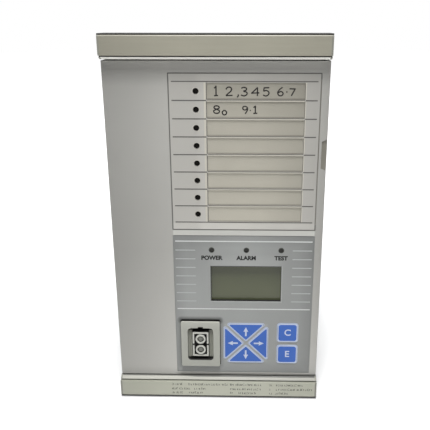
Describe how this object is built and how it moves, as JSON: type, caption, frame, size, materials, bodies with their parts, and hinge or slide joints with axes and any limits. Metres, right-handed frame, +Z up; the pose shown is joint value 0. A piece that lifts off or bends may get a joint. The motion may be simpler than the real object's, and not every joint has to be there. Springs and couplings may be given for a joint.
{
  "type": "protection relay",
  "caption": "Flush-mounting numerical protection relay with label windows, display, keypad and optical port on a deep sheet case with rear terminals.",
  "frame": {"origin": "centre of the gasket's rear face, which presses against the switchgear panel", "axes": "+X to the right seen from the front, +Y to the rear through the panel, +Z up"},
  "size_m": [0.1488, 0.235, 0.2658],
  "materials": {
    "bar": "fine satin anodised, warm grey",
    "cap": "moulded, matt",
    "panel": "moulded, fine grain, light grey",
    "lamp_film": "fine-grained film, light grey",
    "keypad_film": "fine-grained film, mid grey",
    "slip": "plain paper, aged beige",
    "key": "satin film, blue with a pale border",
    "alarm_lens": "dark smoked lens",
    "status_lens": "dark grey smoked lens",
    "black_plastic": "moulded, black",
    "display": "unlit olive liquid-crystal screen",
    "diffuser": "white diffuser",
    "board": "green solder mask",
    "bezel": "moulded, beige grey",
    "port_white": "moulded, off-white",
    "port_lens": "smoked grey dome",
    "dark_steel": "dark satin paint",
    "gasket_rubber": "cellular rubber",
    "zinc": "zinc plated",
    "case_steel": "aluminium-zinc coated sheet",
    "earth_brass": "plain brass",
    "plug_green": "moulded, green",
    "pin_metal": "tinned brass",
    "fibre_blue": "moulded, blue",
    "core": "varnished laminations",
    "coil": "taped copper winding",
    "supply_block": "taped and varnished",
    "capacitor": "sleeved can",
    "sink": "black anodised",
    "relay_case": "pale moulded case",
    "connector": "ivory moulding",
    "ribbon": "grey ribbon insulation"
  },
  "bodies": {
    "case": {"top_bar": "bar", "bottom_bar": "bar", "bar_end_caps": "cap", "front_panel": "panel", "lamp_overlay": "lamp_film", "keypad_overlay": "keypad_film", "alarm_lamps": "alarm_lens", "status_lamps": "status_lens", "display_frame": "black_plastic", "key_switches": "black_plastic", "measuring_terminals": "black_plastic", "serial_insert": "black_plastic", "logic_chips": "black_plastic", "ribbon_sockets": "black_plastic", "display_glass": "display", "display_backlight": "diffuser", "front_board": "board", "measuring_board": "board", "supply_board": "board", "processor_board": "board", "linking_board": "board", "port_bezel": "bezel", "port_body": "port_white", "port_lenses": "port_lens", "mounting_frame": "dark_steel", "gasket": "gasket_rubber", "front_board_screws": "zinc", "front_screws": "zinc", "rear_screws": "zinc", "bracket_nuts": "zinc", "earth_washer": "zinc", "measuring_screws": "zinc", "serial_shell": "zinc", "jack_screws": "zinc", "case_shell": "case_steel", "rear_plate": "case_steel", "earth_stud": "earth_brass", "earth_nut": "earth_brass", "plug_header": "plug_green", "header_pins": "pin_metal", "fibre_ports": "fibre_blue", "transformer_cores": "core", "transformer_coils": "coil", "supply_transformer": "supply_block", "supply_capacitors": "capacitor", "heat_sink": "sink", "output_relays": "relay_case", "board_connectors": "connector", "card_guides": "connector", "ribbon_cable": "ribbon"},
    "key_up_body": {"key_up": "key"},
    "key_left_body": {"key_left": "key"},
    "key_down_body": {"key_down": "key"},
    "key_right_body": {"key_right": "key"},
    "key_clear_body": {"key_clear": "key"},
    "key_enter_body": {"key_enter": "key"},
    "slip": {"label_slip": "slip"},
    "plug": {"terminal_plug": "plug_green", "plug_screws": "zinc"}
  },
  "joints": [
    {"name": "key_up_press", "type": "slide", "parent": "case", "child": "key_up_body", "axis": [0, 1, 0], "range_m": [0, 0.0005], "stiffness_N_per_m": 600},
    {"name": "key_left_press", "type": "slide", "parent": "case", "child": "key_left_body", "axis": [0, 1, 0], "range_m": [0, 0.0005], "stiffness_N_per_m": 600},
    {"name": "key_down_press", "type": "slide", "parent": "case", "child": "key_down_body", "axis": [0, 1, 0], "range_m": [0, 0.0005], "stiffness_N_per_m": 600},
    {"name": "key_right_press", "type": "slide", "parent": "case", "child": "key_right_body", "axis": [0, 1, 0], "range_m": [0, 0.0005], "stiffness_N_per_m": 600},
    {"name": "key_clear_press", "type": "slide", "parent": "case", "child": "key_clear_body", "axis": [0, 1, 0], "range_m": [0, 0.0005], "stiffness_N_per_m": 600},
    {"name": "key_enter_press", "type": "slide", "parent": "case", "child": "key_enter_body", "axis": [0, 1, 0], "range_m": [0, 0.0005], "stiffness_N_per_m": 600},
    {"name": "slip_draw", "type": "slide", "parent": "case", "child": "slip", "axis": [1, 0, 0], "range_m": [0, 0.0815]},
    {"name": "plug_pull", "type": "slide", "parent": "case", "child": "plug", "axis": [0, 1, 0], "range_m": [0, 0.014]}
  ]
}
